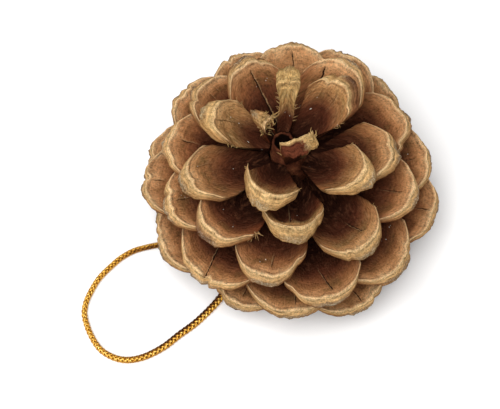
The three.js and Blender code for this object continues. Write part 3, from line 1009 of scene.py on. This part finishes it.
# %% Scale wood
def scale_wood():
    finish = Finish("scale_wood", 0.8, gloss=0.02)
    sideways, inland, seed = finish.note("grain")
    across, rise, shading = finish.note("zone")
    tone, pale, glints = finish.note("kind")
    off_crack, crack_share, blush = finish.note("crack")
    run = inland - (1 - rise) * 4
    spread = finish.vector(sideways, run, seed * 3)
    fibres = finish.vector(sideways * 4, run * 0.5, seed * 3)
    rings = finish.vector(sideways * 0.25, run * 2.4, seed * 3)

    blotches = finish.speckle(spread, 0.22, 3)
    patches = finish.speckle(spread, 0.8, 4, 0.6)
    grains = finish.speckle(fibres, 1.1, 3, 0.6)
    ringing = finish.speckle(rings, 0.9, 2)
    fine = finish.speckle(spread, 5, 3, 0.7)
    fuzz = finish.speckle(finish.vector(sideways, run * 0.85, seed * 5), 2.1, 4, 0.75)

    # Darker inwards: partly the wood's own colour and partly painted shade between the scales
    depth = inland * shading + (blotches - 0.5) * 5 + (patches - 0.5) * 2.5 + (fuzz - 0.5) * 3
    top = finish.ramp(depth / 16, [
        (0.0, 244, 200, 148), (0.03, 224, 174, 124), (0.09, 202, 148, 101),
        (0.18, 176, 120, 77), (0.29, 140, 87, 54), (0.42, 106, 60, 38),
        (0.56, 74, 38, 24), (0.85, 40, 19, 12),
    ])
    olive = blotches.step(0.5, 0.6) * depth.step(2, 4) * depth.step(8, 5) * 0.4
    top = finish.mix(olive, top, paint(108, 84, 48))
    flecks = patches.step(0.48, 0.66) * depth.step(4, 7)
    top = finish.mix(flecks * 0.35, top, paint(112, 70, 48))
    corner = across.size().step(0.6, 1) * inland.step(0.3, 1.2) * inland.step(7, 3)
    top = finish.mix(corner * (0.4 + blush * 0.4), top, paint(134, 66, 38))

    streaks = finish.speckle(finish.vector(sideways * 0.4, rise * 7, seed * 3), 1, 4, 0.65)
    outer = finish.ramp(rise + (patches - 0.5) * 0.4 + (streaks - 0.5) * 0.7, [
        (0.0, 134, 86, 52), (0.22, 170, 122, 76), (0.5, 206, 160, 106),
        (0.8, 228, 186, 130), (1.0, 242, 204, 150),
    ])
    scarred = (across.size().step(0.62, 0.1) * rise.step(0.62, 0.32) * rise.step(0.0, 0.12)).lower(1)
    crusty = finish.speckle(spread, 2.2, 4, 0.7)
    crust = finish.ramp(crusty, [
        (0.4, 92, 66, 50), (0.5, 156, 130, 102), (0.6, 196, 178, 150),
    ])
    outer = finish.mix(scarred * (crusty + 0.1).step(0.42, 0.62), outer, crust)
    outer = finish.mix(across.size().step(0.7, 1) * 0.6, outer, paint(142, 80, 46))
    reddened = (blush * 0.6 + 0.35 - rise).step(0, 0.25)
    blushing = blush.step(0.4, 1) * reddened * (across + (patches - 0.5)).step(-0.4, 0)
    outer = finish.mix(blushing, outer, paint(104, 55, 37))
    under = finish.ramp(grains, [(0.3, 70, 34, 20), (0.7, 128, 72, 42)])
    below = inland.step(0.4, 2.5) * rise.step(0.3, 0.05)
    outer = finish.mix(below, outer, under)
    # The sides darken away from the rim: partly the wood's own colour and partly painted shade between
    # the scales
    outer = finish.mix(inland.step(0.5, 1.5) * (1 - below), outer, paint(116, 64, 38))
    outer = finish.mix(inland.step(2, 7), outer, paint(54, 28, 18))
    upper = rise.step(0.88, 0.99)
    colour = finish.mix(upper, outer, top)

    # A pale line along the crest of the rim: partly the wood's own pale edge and partly a painted
    # highlight
    unbroken = (patches * 0.6 + fuzz * 0.4).step(0.38, 0.52)
    pale_lip_and_highlight = inland.step(0.55, 0.15) * rise.step(0.84, 0.96) * unbroken
    colour = finish.mix(pale_lip_and_highlight * 0.65, colour, paint(246, 208, 156))
    straw = finish.ramp(patches * 0.5 + grains * 0.5, [
        (0.3, 150, 106, 60), (0.5, 206, 168, 106), (0.7, 238, 208, 146),
    ])
    fresh = pale * (inland * shading).step(9, 3) * (1 - blushing)
    colour = finish.mix(fresh * 0.8, colour, straw)

    # The crack is painted dark inside as painted shade, and a line beside it gets a painted highlight
    line = off_crack + (patches - 0.5) * 0.7
    cracked = crack_share * rise.step(0.8, 0.95)
    split = line.size().step(0.2, 0.05) * cracked
    colour = finish.mix(split, colour, paint(38, 22, 16))
    lit = (line - 0.25).size().step(0.2, 0.04) * cracked
    colour = finish.mix(lit * 0.35, colour, paint(206, 168, 120))

    wavy = rise + (streaks - 0.5) * 0.35
    fold = wavy.step(0.66, 0.74) * wavy.step(0.86, 0.78) * (1 - upper)
    # The groove behind the crest is darkened as painted shade
    groove = inland.step(0.55, 0.85) * inland.step(1.5, 1) * upper
    swing = 1 - fold * 0.22 - groove * 0.2 + (ringing - 0.5) * 0.75
    swing += (grains - 0.5) * (0.1 + upper * 0.4) + (fine - 0.5) * 0.5
    swing += (fuzz - 0.5) * (2.1 + upper * 0.7) + (streaks - 0.5) * (1 - upper) * 1.6
    colour = finish.shade(colour, swing * tone)
    # Whitish specks of resin: partly the resin's own colour and partly painted glints; there the wood
    # is also less rough
    resin_and_glint = finish.cells(spread, 0.8).step(0.13, 0.07) * blotches.step(0.54, 0.6)
    resin_and_glint *= glints.step(0.4, 0.7)
    colour = finish.mix(resin_and_glint * inland.step(1.5, 3) * 0.9, colour, paint(236, 228, 214))
    finish.feed("Base Color", colour)
    finish.feed("Roughness", 0.82 - resin_and_glint * 0.5 - (patches - 0.5) * 0.3)
    height = (grains - 0.5) * (0.15 + upper * 0.45) + ringing * 0.8 + fine * 0.35 + fuzz * 2
    height += (streaks - 0.5) * (1 - upper) * 1.2 - fold * 0.6
    height += scarred * (crusty - 0.5) * 1.5 - split * 0.8
    finish.feed("Normal", finish.bump(height, 0.45, 1))
    return finish.material


wood = scale_wood()
print("nodes in the wood:", len(wood.node_tree.nodes))

# %% [markdown]
# ## All the scales
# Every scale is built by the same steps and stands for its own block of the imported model.

# %% Build the scales
APEX_SCALES = (1, 4, 5)
for number in shapes:
    piece = build_scale(number, wood)
    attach(piece, "root")
    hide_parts(f"scale_{number:02d}")
    "apex_wood" if number in APEX_SCALES else "scale_wood"
print("scale pieces:", len(shapes))

# %% [markdown]
# ## The core
# Between the scales the woody core shows as a dark, knobbly shape, and at the apex it is broken off:
# a hole with a torn rim, painted near black inside as painted shade. Its outline is spun round the
# upright axis. The blank for a turned shape is its outline alone, and Spin closes it where it meets
# itself.

# %% Core wood
def core_wood():
    finish = Finish("core_wood", 0.88, gloss=0.02)
    places = finish.places()
    patches = finish.speckle(places, 420, 4, 0.6)
    fine = finish.speckle(places, 1800, 3, 0.7)
    colour = finish.ramp(patches * 0.7 + fine * 0.3, [
        (0.35, 48, 24, 15), (0.5, 82, 43, 28), (0.65, 118, 72, 46),
    ])
    # The corners inside the broken tip are painted near black: painted shade in the hole
    pit = finish.note("pit")[0]
    finish.feed("Base Color", finish.mix(pit, colour, paint(16, 7, 4)))
    finish.feed("Roughness", 0.75 + fine * 0.2)
    finish.feed("Normal", finish.bump(patches + fine * 0.5, 0.5, 0.9))
    return finish.material


# %% Core
# Radius and height, up the outside and down into the broken tip
CORE_OUTLINE = [
    (0, 0), (3.2, 0), (3.3, 4), (5.6, 6), (6, 20), (5.4, 28), (4.3, 33), (3.5, 36), (2.9, 38.2),
    (2.6, 39.4), (2.3, 39.6), (2, 39), (1.9, 38), (1.6, 36), (0, 35.5),
]
PIT_START = 11
CORE_SIDES = 64
LONG_EDGE = 2.5
LONG_EDGE_CUTS = 5
KNOB_HEIGHT = 0.35
TORN_HEIGHTS = (38, 39.5)
TEAR_DEPTH = 0.7


def build_core(material):
    net = bmesh.new()
    pit = net.verts.layers.float_vector.new("pit")
    corners = [net.verts.new((radius * MM, 0, height * MM)) for radius, height in CORE_OUTLINE]
    # The corners down inside the broken tip are marked for painted shade
    for corner in corners[PIT_START:]:
        corner[pit] = Vector((1, 0, 0))
    edges = [net.edges.new(pair) for pair in zip(corners, corners[1:])]
    long = [edge for edge in edges if abs(edge.verts[0].co.z - edge.verts[1].co.z) > LONG_EDGE * MM]
    bmesh.ops.subdivide_edges(net, edges=long, cuts=LONG_EDGE_CUTS)
    bmesh.ops.spin(
        net, geom=net.verts[:] + net.edges[:], cent=(0, 0, 0), axis=(0, 0, 1),
        angle=2 * math.pi, steps=CORE_SIDES, use_merge=True,
    )
    bmesh.ops.remove_doubles(net, verts=net.verts[:], dist=0.00001)
    bmesh.ops.recalc_face_normals(net, faces=net.faces[:])
    for corner in net.verts:
        flat = Vector((corner.co.x, corner.co.y, 0))
        if flat.length > 0.5 * MM and corner.co.z > 0.5 * MM:
            rough = noise.noise(corner.co / MM * 0.9) + 0.5 * noise.noise(corner.co / MM * 2.3)
            corner.co += flat.normalized() * rough * KNOB_HEIGHT * MM
            torn = TEAR_DEPTH * smooth(corner.co.z / MM, *TORN_HEIGHTS)
            corner.co.z += torn * MM * noise.noise(corner.co / MM * 1.1)
        lean = TIP_LEAN * smooth(corner.co.z / MM, *LEAN_HEIGHTS)
        corner.co += Vector((lean.x, lean.y, 0)) * MM
    net.transform(Matrix.Translation(CONE_SHIFT * MM))
    return finished_piece("woody_core", mesh_from(net, "core"), material)


core = build_core(core_wood())
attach(core, "root")
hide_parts("axis")
print("core faces:", len(core.data.polygons))

# %% [markdown]
# ## The surface and the light
# The cone stands on a plain pale surface. The light is that of a small photo studio: one large soft
# lamp above and in front, and a white room that fills the shadows.

# %% Floor, lamp and room
FLOOR_SIZE = 3
ROOM_LIGHT = 0.5
LAMP_SIZE = 0.5
LAMP_PLACE = Vector((-0.12, -0.2, 0.62))
LAMP_WATTS = 4.95


def build_floor():
    finish = Finish("pale_surface", 0.9)
    places = finish.places()
    finish.feed("Base Color", finish.ramp(finish.speckle(places, 60, 2), [
        (0.3, 250, 249, 248), (0.7, 253, 252, 251),
    ]))
    net = bmesh.new()
    bmesh.ops.create_grid(net, x_segments=1, y_segments=1, size=FLOOR_SIZE / 2)
    return finished_piece("floor", mesh_from(net, "floor"), finish.material)


floor = build_floor()

lamp = bpy.data.objects.new("lamp", bpy.data.lights.new("lamp", "AREA"))
scene.collection.objects.link(lamp)
lamp.data.shape = "SQUARE"
lamp.data.size = LAMP_SIZE
lamp.data.energy = LAMP_WATTS
facing = (-LAMP_PLACE).to_track_quat("-Z", "Y").to_matrix().to_4x4()
lamp.matrix_world = Matrix.Translation(LAMP_PLACE) @ facing

scene.world = bpy.data.worlds.new("room")
scene.world.use_nodes = True
scene.world.node_tree.nodes["Background"].inputs["Color"].default_value = (1, 1, 1, 1)
scene.world.node_tree.nodes["Background"].inputs["Strength"].default_value = ROOM_LIGHT
scene.view_settings.view_transform = "Standard"
